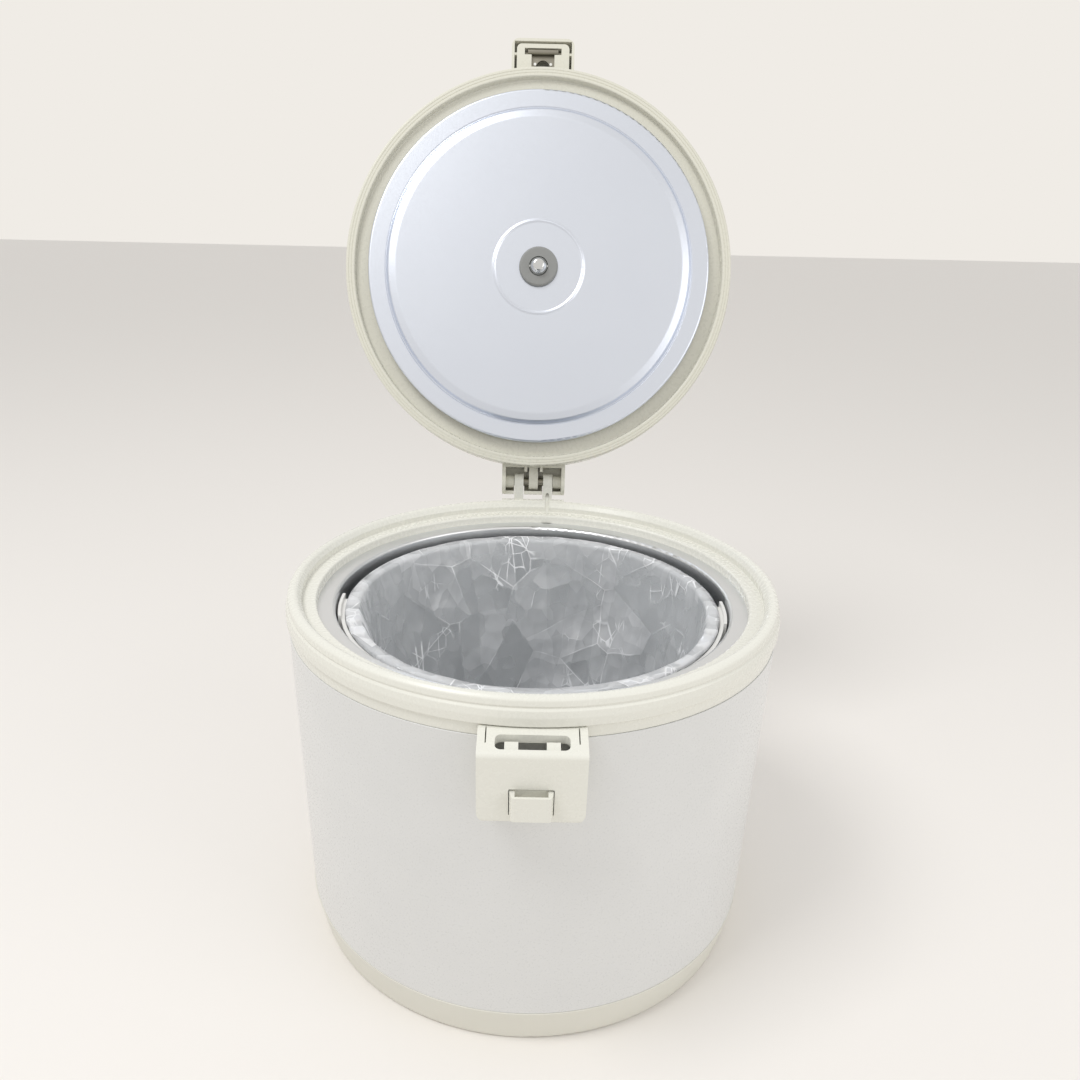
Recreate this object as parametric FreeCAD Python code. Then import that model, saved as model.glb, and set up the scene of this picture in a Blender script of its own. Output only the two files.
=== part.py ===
import FreeCAD, Part
import math
import os

from FreeCAD import Vector

# A countertop-height waste compactor: a round steel body on a moulded base, a removable grey bucket
# in an aluminium chamber, and a hinged lid whose centre stud draws the air out of the bag.
# Millimetres. The origin is the centre of the footprint on the floor, +Z is up, the latch faces -Y
# and the hinge lies at +Y. The lid is modelled closed and then turned open about its hinge axis.

# ---- body -------------------------------------------------------------------------------------
SHELL_RADIUS = 170.0        # outside of the painted steel shell
SHELL_WALL = 0.8
SHELL_TOP = 243.4
SEAM_HEIGHT = 29.6          # joint between base pan and shell
SEAM_GAP = 0.3
BASE_FOOT_RADIUS = SHELL_RADIUS - 5.0    # base pan where it meets the floor
PAN_WALL = 2.6
PAN_LEDGE_INSIDE = SHELL_RADIUS - 24.0    # inner edge of the ledge that carries the bottom cover
COVER_THICKNESS = 3.0
COVER_RECESS = 4.0          # underside of the bottom cover above the floor
FIT = 0.3                   # clearance between separate bodies
SLIP = 0.05                 # radial clearance of shafts, pins and screws in their holes

# ---- shoulder ring and chamber ------------------------------------------------------------------
LIP_RADIUS = SHELL_RADIUS - 19.6          # inner lip of the shoulder ring
LAND_HEIGHT = SHELL_TOP + 16.9         # flat land that faces the rim of the lid
STEP_RADIUS = SHELL_RADIUS - 9.8         # step that surrounds the rim of the lid
CREST_HEIGHT = SHELL_TOP + 25.8
RING_RADIUS = SHELL_RADIUS + 1.2
RING_WALL = 2.5
LEDGE_HEIGHT = SHELL_TOP + 10.6        # bright ledge at the mouth of the chamber
CHAMBER_RADIUS = SHELL_RADIUS - 31.5
CHAMBER_WALL = 1.2
CHAMBER_FLOOR = 78.0
FLANGE_RADIUS = SHELL_RADIUS - 7.0
FLANGE_SCREW_CIRCLE = SHELL_RADIUS - 12.0

# ---- bucket, bag and bail ---------------------------------------------------------------------
BUCKET_RIM_RADIUS = CHAMBER_RADIUS - 7.5
BUCKET_RIM_HEIGHT = SHELL_TOP + 3.6
BUCKET_FOOT_RADIUS = CHAMBER_RADIUS - 28.5
BUCKET_WALL = 2.0
BUCKET_LIP = 5.0
BAG_FILM = 0.5
BAIL_HEIGHT = BUCKET_RIM_HEIGHT - 4.5         # pivot axis of the bail
BAIL_INSIDE = BUCKET_RIM_RADIUS + 1.4
BAIL_THICKNESS = 2.6
BAIL_DEPTH = 8.0
PIVOT_LENGTH = 38.0
PIVOT_RADIUS = 2.5

# ---- hinge --------------------------------------------------------------------------------------
HINGE_Y = SHELL_RADIUS + 2.0
HINGE_Z = SHELL_TOP + 40.2
LID_OPEN_DEG = 110.2
HINGE_TUBE_RADIUS = 3.5
HINGE_TUBE_BORE = 2.4
HINGE_SLIP = 0.08           # running clearance of the lid on the hinge tube
EAR_RADIUS = 7.0
EAR_THICKNESS = 7.8
EAR_CENTRE = 12.4
BARREL_RADIUS = 11.0
BARREL_WALL = 2.4
HOUSING_HALF_WIDTH = 27.0
BOSS_RADIUS = 5.4
TAB_HALF_WIDTH = 3.9

# ---- lid ------------------------------------------------------------------------------------------
LID_RADIUS = STEP_RADIUS - 0.7
RIM_WIDTH = 7.2
ANNULUS_RECESS = 5.1        # depth of the ring-shaped recess inside the rim
LID_WEB = 2.4
LID_SEAM = SHELL_TOP + 28.6
LID_TOP = SHELL_TOP + 61.6
LID_EDGE_TOP = SHELL_TOP + 45.6
LID_WALL = 2.6
PLATE_RADIUS = LID_RADIUS - 19.2        # bright inner lid
PLATE_HEIGHT = SHELL_TOP + 12.2
PLATE_THICKNESS = 1.0
GASKET_GAP = 0.3            # room between the gasket and the inner lid
DISC_OUTER = PLATE_RADIUS - 15.5
DISC_FLAT = DISC_OUTER - 7.5
DISC_DROP = 4.4
BEAD_RADIUS = 36.5
GROMMET_RADIUS = 16.4
STUD_RADIUS = 7.5
LID_SCREW_CIRCLE = PLATE_RADIUS - 10.3
NOSE_HALF_WIDTH = 25.6
NOSE_FRONT = SHELL_RADIUS + 15.5
NOSE_TOP = SHELL_TOP + 41.6
NOSE_WALL = 2.2
CATCH_GAP = 2.0            # dark joint between the nose and the striker block

# ---- latch ----------------------------------------------------------------------------------------
LATCH_HALF_WIDTH = 30.0
LATCH_FRONT = SHELL_RADIUS + 20.0
LATCH_BOTTOM = SHELL_TOP - 42.1
LATCH_TOP_BACK = SHELL_TOP + 7.4
LATCH_TOP_FRONT = SHELL_TOP + 2.9
LATCH_CORNER = 7.0
LATCH_WALL = 3.2
SLOT_HALF_WIDTH = 20.3
SLOT_BACK = SHELL_RADIUS + 5.5
SLOT_FRONT = SHELL_RADIUS + 16.0
LEVER_PIN_Y = -(SHELL_RADIUS + 12.0)
LEVER_PIN_Z = SHELL_TOP - 19.4
LEVER_PIN_RADIUS = 1.5
HOOK_CENTRE = 11.4
HOOK_WIDTH = 7.5
TAB_ROOT_HALF = 12.0
TAB_TIP_HALF = 10.7
TAB_BOTTOM = SHELL_TOP - 35.9
TAB_TOP = SHELL_TOP - 20.4
TAB_REACH = 6.5

# ---- suction blower -------------------------------------------------------------------------------
MOTOR_RADIUS = 36.0
MOTOR_HEIGHT = 24.0
MOTOR_MOUNT = 4.0
CASE_WALL = 2.5
FAN_CASE_RADIUS = 62.0
FAN_CASE_HEIGHT = 25.0
SHAFT_RADIUS = 4.0
BEARING_RADIUS = 9.0
BEARING_WIDTH = 5.0
IMPELLER_RADIUS = 55.0
VANE_COUNT = 12
DUCT_HEIGHT = 10.0
HOSE_RADIUS = 6.0
HOSE_BORE = 4.5
HOSE_LINE = SHELL_RADIUS - 15.0           # radius at which the hose climbs between chamber and shell
GLAND_BORE = 3.6
GLAND_LENGTH = 12.0
GLAND_HEIGHT = 20.0

HINGE_AXIS_POINT = Vector(0, HINGE_Y, HINGE_Z)
COVER_TOP = COVER_RECESS + COVER_THICKNESS
MOTOR_BOTTOM = COVER_TOP + MOTOR_MOUNT
FAN_BOTTOM = MOTOR_BOTTOM + MOTOR_HEIGHT
FAN_TOP = FAN_BOTTOM + FAN_CASE_HEIGHT
RIM_HEIGHT = LAND_HEIGHT + 0.6
ANNULUS_HEIGHT = RIM_HEIGHT + ANNULUS_RECESS
NOSE_BOTTOM = CREST_HEIGHT + 1.1
DISC_HEIGHT = PLATE_HEIGHT - DISC_DROP


# ---- shape helpers --------------------------------------------------------------------------------
def rounded_wire(points, place):
    """Closed wire through (a, b) or (a, b, corner radius) points; place turns (a, b) into a vector."""
    flat = [Vector(p[0], p[1], 0) for p in points]
    radii = [p[2] if len(p) > 2 else 0.0 for p in points]
    count = len(flat)
    starts, ends, arcs = [], [], []
    for i in range(count):
        corner = flat[i]
        to_last = flat[i - 1] - corner
        to_next = flat[(i + 1) % count] - corner
        room = 0.48 * min(to_last.Length, to_next.Length)
        half = to_last.getAngle(to_next) / 2
        if radii[i] == 0 or half > math.radians(89.5):
            starts.append(corner)
            ends.append(corner)
            arcs.append(None)
            continue
        back = min(radii[i] / math.tan(half), room)
        radius = back * math.tan(half)
        to_last.normalize()
        to_next.normalize()
        bisector = to_last + to_next
        bisector.normalize()
        centre = corner + bisector * (radius / math.sin(half))
        starts.append(corner + to_last * back)
        ends.append(corner + to_next * back)
        arcs.append(centre - bisector * radius)
    edges = []
    for i in range(count):
        if arcs[i] is not None:
            arc = Part.Arc(*[place(v.x, v.y) for v in (starts[i], arcs[i], ends[i])])
            edges.append(arc.toShape())
        following = starts[(i + 1) % count]
        if (following - ends[i]).Length > 1e-6:
            line = Part.LineSegment(place(ends[i].x, ends[i].y), place(following.x, following.y))
            edges.append(line.toShape())
    return Part.Wire(edges)


def lathe(points):
    """Solid of revolution about Z from a closed (radius, height[, corner radius]) profile."""
    wire = rounded_wire(points, lambda r, z: Vector(r, 0, z))
    return Part.Face(wire).revolve(Vector(0, 0, 0), Vector(0, 0, 1), 360)


def side_plate(points, x_low, x_high):
    """Solid with a (y, z[, corner radius]) outline, between two planes across X."""
    wire = rounded_wire(points, lambda y, z: Vector(x_low, y, z))
    return Part.Face(wire).extrude(Vector(x_high - x_low, 0, 0))


def front_plate(points, y_low, y_high):
    """Solid with an (x, z[, corner radius]) outline, between two planes across Y."""
    wire = rounded_wire(points, lambda x, z: Vector(x, y_low, z))
    return Part.Face(wire).extrude(Vector(0, y_high - y_low, 0))


def floor_plate(points, z_low, z_high):
    """Solid with an (x, y[, corner radius]) outline, between two heights."""
    wire = rounded_wire(points, lambda x, y: Vector(x, y, z_low))
    return Part.Face(wire).extrude(Vector(0, 0, z_high - z_low))


def rectangle(a_low, a_high, b_low, b_high, corner=0.0):
    return [(a_low, b_low, corner), (a_high, b_low, corner),
            (a_high, b_high, corner), (a_low, b_high, corner)]


def box(x_low, x_high, y_low, y_high, z_low, z_high):
    corner = Vector(x_low, y_low, z_low)
    return Part.makeBox(x_high - x_low, y_high - y_low, z_high - z_low, corner)


def rod(radius, start, end):
    along = Vector(*end) - Vector(*start)
    return Part.makeCylinder(radius, along.Length, Vector(*start), along)


def pipe(radius, bore, start, end):
    return rod(radius, start, end).cut(rod(bore, start, end))


def round_places(count, radius, first_deg=0.0):
    turns = [math.radians(first_deg + 360.0 * i / count) for i in range(count)]
    return [(radius * math.cos(t), radius * math.sin(t)) for t in turns]


def both_sides(shape):
    return [shape, shape.mirror(Vector(0, 0, 0), Vector(1, 0, 0))]


def upright_screw(x, y, seat, up, length, head_radius=3.2, shank_radius=1.5):
    """Pan-head screw whose head bears on the height seat and whose shank runs in the sense up."""
    head = rod(head_radius, (x, y, seat), (x, y, seat - 2.2 * up))
    socket = rod(1.3, (x, y, seat - 1.1 * up), (x, y, seat - 2.2 * up))
    shank = rod(shank_radius, (x, y, seat), (x, y, seat + length * up))
    return head.cut(socket).fuse(shank)


# ---- base -----------------------------------------------------------------------------------------
COVER_SCREWS = round_places(6, (PAN_LEDGE_INSIDE + BASE_FOOT_RADIUS - 8) / 2, 30)
COVER_EDGE = BASE_FOOT_RADIUS - 8.0
BOARD_X = -104.0
POWER_X = 104.0


def make_base_pan():
    spigot = SHELL_RADIUS - SHELL_WALL - SEAM_GAP + 0.1
    pan = lathe([
        (COVER_EDGE, 0), (BASE_FOOT_RADIUS, 0, 3), (SHELL_RADIUS + 0.6, SEAM_HEIGHT - SEAM_GAP, 0.8),
        (spigot, SEAM_HEIGHT - SEAM_GAP), (spigot, SEAM_HEIGHT + 8.4),
        (spigot - PAN_WALL, SEAM_HEIGHT + 8.4), (spigot - PAN_WALL, SEAM_HEIGHT - 1),
        (BASE_FOOT_RADIUS - 1.6, COVER_TOP + 3), (PAN_LEDGE_INSIDE, COVER_TOP + 3),
        (PAN_LEDGE_INSIDE, COVER_TOP), (COVER_EDGE, COVER_TOP)])
    for x, y in COVER_SCREWS:
        pan = pan.cut(rod(1.5 + SLIP, (x, y, 0), (x, y, COVER_TOP + 5)))
    gland_hole = rod(GLAND_BORE + 2.4, (0, 150, GLAND_HEIGHT), (0, 180, GLAND_HEIGHT))
    return pan.cut(gland_hole)


def make_bottom_cover():
    cover = lathe([(0, COVER_RECESS), (COVER_EDGE - FIT, COVER_RECESS, 0.8),
                   (COVER_EDGE - FIT, COVER_TOP), (0, COVER_TOP)])
    for x, y in COVER_SCREWS:
        cover = cover.cut(rod(1.8, (x, y, 0), (x, y, 10)))
        cover = cover.cut(rod(3.6, (x, y, 0), (x, y, COVER_RECESS + 1.2)))
    for row in range(7):
        y = -117 + 6 * row
        cover = cover.cut(floor_plate(rectangle(-22, 22, y, y + 3, 1.4), 0, 10))
    for x in (BOARD_X - 22, BOARD_X + 22):
        for y in (-28, 28):
            cover = cover.fuse(rod(3, (x, y, COVER_TOP - 0.5), (x, y, COVER_TOP + 6)))
    return cover


def make_foot_pads():
    return [rod(11, (x, y, 0), (x, y, COVER_RECESS)) for x, y in round_places(4, 134, 45)]


def make_cover_screws():
    return [upright_screw(x, y, COVER_RECESS + 1.2, 1, 5.2) for x, y in COVER_SCREWS]


def make_outer_shell():
    inside = SHELL_RADIUS - SHELL_WALL
    shell = lathe([(inside, SEAM_HEIGHT), (SHELL_RADIUS, SEAM_HEIGHT), (SHELL_RADIUS, SHELL_TOP, 0.4),
                   (inside, SHELL_TOP)])
    for x, z in LATCH_SCREWS:
        shell = shell.cut(rod(1.7, (x, -180, z), (x, -150, z)))
    return shell


def make_cord_gland():
    start = HINGE_Y - 12.5
    barrel = rod(GLAND_BORE + 2.3, (0, start, GLAND_HEIGHT), (0, start + GLAND_LENGTH, GLAND_HEIGHT))
    inner_flange = rod(9, (0, start, GLAND_HEIGHT), (0, start + 2, GLAND_HEIGHT))
    gland = barrel.fuse(inner_flange)
    return gland.cut(rod(GLAND_BORE, (0, start - 1, GLAND_HEIGHT), (0, start + 20, GLAND_HEIGHT)))


def make_control_board():
    x_low, x_high = BOARD_X - 28, BOARD_X + 28
    board = box(x_low, x_high, -34, 34, COVER_TOP + 6, COVER_TOP + 7.6)
    seat = COVER_TOP + 7.6
    parts = [box(x_low + 6, x_low + 24, -26, -6, seat, seat + 14),
             box(x_low + 32, x_low + 50, -24, -8, seat, seat + 9),
             rod(6, (BOARD_X - 12, 14, seat), (BOARD_X - 12, 14, seat + 20)),
             rod(5, (BOARD_X + 6, 18, seat), (BOARD_X + 6, 18, seat + 16))]
    for piece in parts:
        board = board.fuse(piece)
    return board


def make_transformer():
    core = box(POWER_X - 22, POWER_X + 22, -26, 26, COVER_TOP, COVER_TOP + 34)
    window = box(POWER_X - 30, POWER_X + 30, -17, 17, COVER_TOP + 8, COVER_TOP + 26)
    return core.cut(window)


def make_transformer_coil():
    inside = box(POWER_X - 26, POWER_X + 26, -16.9, 16.9, COVER_TOP + 8.1, COVER_TOP + 25.9)
    return inside


# ---- suction blower -------------------------------------------------------------------------------
def make_motor_mounts():
    return [rod(6, (x, y, COVER_TOP), (x, y, MOTOR_BOTTOM)) for x, y in round_places(3, 27, 90)]


def make_motor_case():
    seat = BEARING_RADIUS + 2.5
    return lathe([
        (SHAFT_RADIUS + 1, MOTOR_BOTTOM), (MOTOR_RADIUS, MOTOR_BOTTOM, 3), (MOTOR_RADIUS, FAN_BOTTOM),
        (MOTOR_RADIUS - CASE_WALL, FAN_BOTTOM), (MOTOR_RADIUS - CASE_WALL, MOTOR_BOTTOM + CASE_WALL),
        (seat, MOTOR_BOTTOM + CASE_WALL), (seat, MOTOR_BOTTOM + CASE_WALL + BEARING_WIDTH),
        (BEARING_RADIUS, MOTOR_BOTTOM + CASE_WALL + BEARING_WIDTH),
        (BEARING_RADIUS, MOTOR_BOTTOM + CASE_WALL), (SHAFT_RADIUS + 1, MOTOR_BOTTOM + CASE_WALL)])


STATOR_LOW = MOTOR_BOTTOM + 9.5
STATOR_HIGH = FAN_BOTTOM - 1.5
STATOR_BORE = 20.0


def make_motor_stator():
    outside = MOTOR_RADIUS - CASE_WALL
    stator = lathe([(STATOR_BORE, STATOR_LOW), (outside, STATOR_LOW), (outside, STATOR_HIGH),
                    (STATOR_BORE, STATOR_HIGH)])
    for x, y in round_places(8, 25):
        stator = stator.cut(rod(2.6, (x, y, STATOR_LOW - 1), (x, y, STATOR_HIGH + 1)))
    return stator


def make_motor_bearings():
    bearings = []
    for low in (MOTOR_BOTTOM + CASE_WALL, FAN_BOTTOM + CASE_WALL):
        bearings.append(pipe(BEARING_RADIUS, SHAFT_RADIUS + SLIP, (0, 0, low), (0, 0, low + BEARING_WIDTH)))
    return bearings


def make_fan_case():
    seat = BEARING_RADIUS + 2.5
    low = FAN_BOTTOM + CASE_WALL
    case = lathe([
        (SHAFT_RADIUS + 1, FAN_BOTTOM), (FAN_CASE_RADIUS, FAN_BOTTOM, 2), (FAN_CASE_RADIUS, FAN_TOP),
        (FAN_CASE_RADIUS - CASE_WALL, FAN_TOP), (FAN_CASE_RADIUS - CASE_WALL, low), (seat, low),
        (seat, low + BEARING_WIDTH), (BEARING_RADIUS, low + BEARING_WIDTH), (BEARING_RADIUS, low),
        (SHAFT_RADIUS + 1, low)])
    return case.cut(box(-18, 18, -FAN_CASE_RADIUS - 5, -40, FAN_BOTTOM + 6, FAN_TOP - 5))


INLET_RADIUS = 16.0


def make_fan_cover():
    return lathe([(INLET_RADIUS, FAN_TOP), (FAN_CASE_RADIUS, FAN_TOP), (FAN_CASE_RADIUS, FAN_TOP + 2, 1),
                  (INLET_RADIUS, FAN_TOP + 2)])


VANE_LOW = FAN_BOTTOM + 10.5
VANE_HIGH = FAN_TOP - 2.5


def make_impeller():
    disc = lathe([(SHAFT_RADIUS + 0.01, VANE_LOW - 2), (IMPELLER_RADIUS, VANE_LOW - 2),
                  (IMPELLER_RADIUS, VANE_LOW), (10, VANE_LOW), (9, VANE_HIGH - 2, 2),
                  (SHAFT_RADIUS + 0.01, VANE_HIGH - 2)])
    vane = box(18, IMPELLER_RADIUS - 1, -0.8, 0.8, VANE_LOW - 0.5, VANE_HIGH)
    vane.rotate(Vector(18, 0, 0), Vector(0, 0, 1), -28)
    for i in range(VANE_COUNT):
        blade = vane.copy()
        blade.rotate(Vector(0, 0, 0), Vector(0, 0, 1), 360.0 * i / VANE_COUNT)
        disc = disc.fuse(blade)
    limit = rod(IMPELLER_RADIUS, (0, 0, VANE_LOW - 3), (0, 0, VANE_HIGH + 1))
    return disc.common(limit)


def make_motor_shaft():
    return rod(SHAFT_RADIUS, (0, 0, MOTOR_BOTTOM + CASE_WALL + 0.5), (0, 0, VANE_HIGH - 1))


def make_motor_rotor():
    return lathe([(SHAFT_RADIUS + 0.01, STATOR_LOW), (STATOR_BORE - 0.6, STATOR_LOW, 0.5),
                  (STATOR_BORE - 0.6, STATOR_HIGH - 0.5, 0.5), (SHAFT_RADIUS + 0.01, STATOR_HIGH - 0.5)])


DUCT_END = 118.0
HOSE_HEIGHT = FAN_TOP + 2 + DUCT_HEIGHT / 2 + 1
EAR_X = EAR_CENTRE


def make_inlet_duct():
    low = FAN_TOP + 2
    high = low + DUCT_HEIGHT + 2
    outer = box(-22, 22, -22, DUCT_END, low, high)
    inner = box(-20.4, 20.4, -20.4, DUCT_END - 1.6, low + 1.4, high - 1.4)
    inlet = rod(INLET_RADIUS, (0, 0, low - 1), (0, 0, low + 3))
    spigot = rod(HOSE_BORE - SLIP, (EAR_X, DUCT_END - 1, HOSE_HEIGHT), (EAR_X, DUCT_END + 12, HOSE_HEIGHT))
    bore = rod(HOSE_BORE - 1.4, (EAR_X, DUCT_END - 4, HOSE_HEIGHT), (EAR_X, DUCT_END + 13, HOSE_HEIGHT))
    return outer.fuse(spigot).cut(inner).cut(inlet).cut(bore)


HOSE_BEND = 24.0
HOSE_TOP = SHELL_TOP + 6.6


def make_suction_hose():
    """Two straight runs joined by one quarter bend, from the duct to the port under the ring."""
    start = Vector(EAR_X, DUCT_END + 1, HOSE_HEIGHT)
    before = Vector(EAR_X, HOSE_LINE - HOSE_BEND, HOSE_HEIGHT)
    after = Vector(EAR_X, HOSE_LINE, HOSE_HEIGHT + HOSE_BEND)
    end = Vector(EAR_X, HOSE_LINE, HOSE_TOP)
    centre = Vector(EAR_X, HOSE_LINE - HOSE_BEND, HOSE_HEIGHT + HOSE_BEND)
    middle = centre + Vector(0, HOSE_BEND * math.sqrt(0.5), -HOSE_BEND * math.sqrt(0.5))
    path = Part.Wire([Part.LineSegment(start, before).toShape(),
                      Part.Arc(before, middle, after).toShape(),
                      Part.LineSegment(after, end).toShape()])
    solids = []
    for radius in (HOSE_RADIUS, HOSE_BORE):
        ring = Part.Wire([Part.makeCircle(radius, start, Vector(0, 1, 0))])
        solids.append(path.makePipeShell([ring], True, True))
    return solids[0].cut(solids[1])


def make_outlet_duct():
    start = -math.sqrt((FAN_CASE_RADIUS + 0.2) ** 2 - 21 ** 2)
    outer = box(-21, 21, -80, start, FAN_BOTTOM + 4, FAN_TOP - 3)
    inner = box(-18, 18, -81, start + 1, FAN_BOTTOM + 6, FAN_TOP - 5)
    around = rod(FAN_CASE_RADIUS + 0.2, (0, 0, FAN_BOTTOM), (0, 0, FAN_TOP))
    return outer.cut(inner).cut(around)


def make_exhaust_filter():
    return box(-34, 34, -122, -80.2, COVER_TOP, FAN_TOP)


# ---- chamber and shoulder ring ----------------------------------------------------------------------
FLANGE_SCREWS = round_places(6, FLANGE_SCREW_CIRCLE, 0)


def make_vacuum_chamber():
    outside = CHAMBER_RADIUS + CHAMBER_WALL
    low = CHAMBER_FLOOR - CHAMBER_WALL
    under = LEDGE_HEIGHT - CHAMBER_WALL
    pot = lathe([
        (0, low), (outside, low, 7), (outside, under), (FLANGE_RADIUS, under), (FLANGE_RADIUS, LEDGE_HEIGHT),
        (CHAMBER_RADIUS, LEDGE_HEIGHT, 2), (CHAMBER_RADIUS, CHAMBER_FLOOR, 6), (0, CHAMBER_FLOOR)])
    for x, y in FLANGE_SCREWS:
        pot = pot.cut(rod(1.8, (x, y, under - 1), (x, y, LEDGE_HEIGHT + 1)))
    return pot.cut(rod(HOSE_RADIUS + 1, (EAR_X, HOSE_LINE, under - 1), (EAR_X, HOSE_LINE, LEDGE_HEIGHT + 1)))


def make_flange_screws():
    return [upright_screw(x, y, LEDGE_HEIGHT - CHAMBER_WALL, 1, 6.0) for x, y in FLANGE_SCREWS]


def ear_outline():
    """Hinge ear in the YZ plane: rounded head on the hinge axis, foot in the back of the ring."""
    return [(HINGE_Y - EAR_RADIUS, LAND_HEIGHT + 2), (HINGE_Y - EAR_RADIUS, HINGE_Z + EAR_RADIUS, EAR_RADIUS),
            (HINGE_Y + EAR_RADIUS, HINGE_Z + EAR_RADIUS, EAR_RADIUS), (HINGE_Y + EAR_RADIUS, HINGE_Z - 12, 6),
            (RING_RADIUS - 2, LEDGE_HEIGHT)]


def make_shoulder_ring():
    spigot = SHELL_RADIUS - SHELL_WALL - SEAM_GAP
    inner_skirt = spigot - PAN_WALL
    band = SHELL_RADIUS - 0.6
    roof = LAND_HEIGHT - RING_WALL
    skirt_low = SHELL_TOP - 9
    ring = lathe([
        (LIP_RADIUS, LEDGE_HEIGHT), (LIP_RADIUS, LAND_HEIGHT, 1.5), (STEP_RADIUS, LAND_HEIGHT, 0.6),
        (STEP_RADIUS, LAND_HEIGHT + 4.2, 1.2), (STEP_RADIUS + 2.6, CREST_HEIGHT - 0.9, 2.5),
        (STEP_RADIUS + 5.6, CREST_HEIGHT, 3), (RING_RADIUS - 2.4, CREST_HEIGHT - 2.0, 2),
        (RING_RADIUS - 1.7, CREST_HEIGHT - 5.4, 0.5), (RING_RADIUS - 2.1, CREST_HEIGHT - 6.6, 0.5),
        (RING_RADIUS - 0.8, CREST_HEIGHT - 8.0, 1), (RING_RADIUS, CREST_HEIGHT - 12.0, 4),
        (RING_RADIUS, CREST_HEIGHT - 17.7, 0.8), (band, CREST_HEIGHT - 17.7), (band, SHELL_TOP + SEAM_GAP),
        (spigot, SHELL_TOP + SEAM_GAP), (spigot, skirt_low), (inner_skirt, skirt_low),
        (inner_skirt, CREST_HEIGHT - 7), (STEP_RADIUS + 4.6, CREST_HEIGHT - 3.6),
        (STEP_RADIUS + RING_WALL, CREST_HEIGHT - 3.8), (STEP_RADIUS + RING_WALL, roof),
        (LIP_RADIUS + RING_WALL, roof), (LIP_RADIUS + RING_WALL, LEDGE_HEIGHT)])
    for x, y in FLANGE_SCREWS:
        ring = ring.fuse(rod(3.6, (x, y, LEDGE_HEIGHT), (x, y, roof + 0.5)))
        ring = ring.cut(rod(1.5 + SLIP, (x, y, LEDGE_HEIGHT - 1), (x, y, LAND_HEIGHT - 1)))
    half = EAR_THICKNESS / 2
    for centre in (-EAR_CENTRE, EAR_CENTRE):
        ring = ring.fuse(side_plate(ear_outline(), centre - half, centre + half))
    saddle = side_plate([(STEP_RADIUS + 0.6, LAND_HEIGHT + 1), (STEP_RADIUS + 0.6, LAND_HEIGHT + 4),
                         (STEP_RADIUS + 2.6, CREST_HEIGHT + 0.8, 1.5), (HINGE_Y + 2, CREST_HEIGHT - 1.0, 4),
                         (RING_RADIUS - 3, LEDGE_HEIGHT + 3)], -HOUSING_HALF_WIDTH, HOUSING_HALF_WIDTH)
    ring = ring.fuse(saddle)
    port = rod(HOSE_BORE - SLIP, (EAR_X, HOSE_LINE, HOSE_TOP - 11), (EAR_X, HOSE_LINE, roof + 0.5))
    ring = ring.fuse(port)
    channel = rod(1.8, (EAR_X, HOSE_LINE, HOSE_TOP - 12), (EAR_X, HOSE_LINE, roof))
    rising = rod(1.8, (EAR_X, HOSE_LINE, roof - 1), (EAR_X, HINGE_Y, HINGE_Z))
    pin_hole = rod(HINGE_TUBE_RADIUS + 0.02, (-40, HINGE_Y, HINGE_Z), (40, HINGE_Y, HINGE_Z))
    ring = ring.cut(channel).cut(rising).cut(pin_hole)
    return ring.removeSplitter()


def make_hinge_tube():
    reach = HOUSING_HALF_WIDTH - 2.6
    tube = rod(HINGE_TUBE_RADIUS, (-reach, HINGE_Y, HINGE_Z), (reach, HINGE_Y, HINGE_Z))
    bore = rod(HINGE_TUBE_BORE, (-2, HINGE_Y, HINGE_Z), (EAR_X + 2, HINGE_Y, HINGE_Z))
    port = rod(1.8, (EAR_X, HINGE_Y, HINGE_Z), (EAR_X, HINGE_Y - 6, HINGE_Z - 9))
    ring_port = lathe_about_hinge(HINGE_TUBE_RADIUS + 1, HINGE_TUBE_RADIUS - 0.6, -1.6, 1.6)
    mouth = rod(1.2, (0, HINGE_Y - 6, HINGE_Z), (0, HINGE_Y, HINGE_Z))
    return tube.cut(bore).cut(port).cut(ring_port).cut(mouth)


def lathe_about_hinge(outer, inner, x_low, x_high):
    return pipe(outer, inner, (x_low, HINGE_Y, HINGE_Z), (x_high, HINGE_Y, HINGE_Z))


# ---- latch ------------------------------------------------------------------------------------------
LATCH_SCREWS = [(-22.0, 231.0), (22.0, LATCH_BOTTOM + 29.7), (-22.0, 209.0), (22.0, LATCH_BOTTOM + 7.7)]


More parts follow.
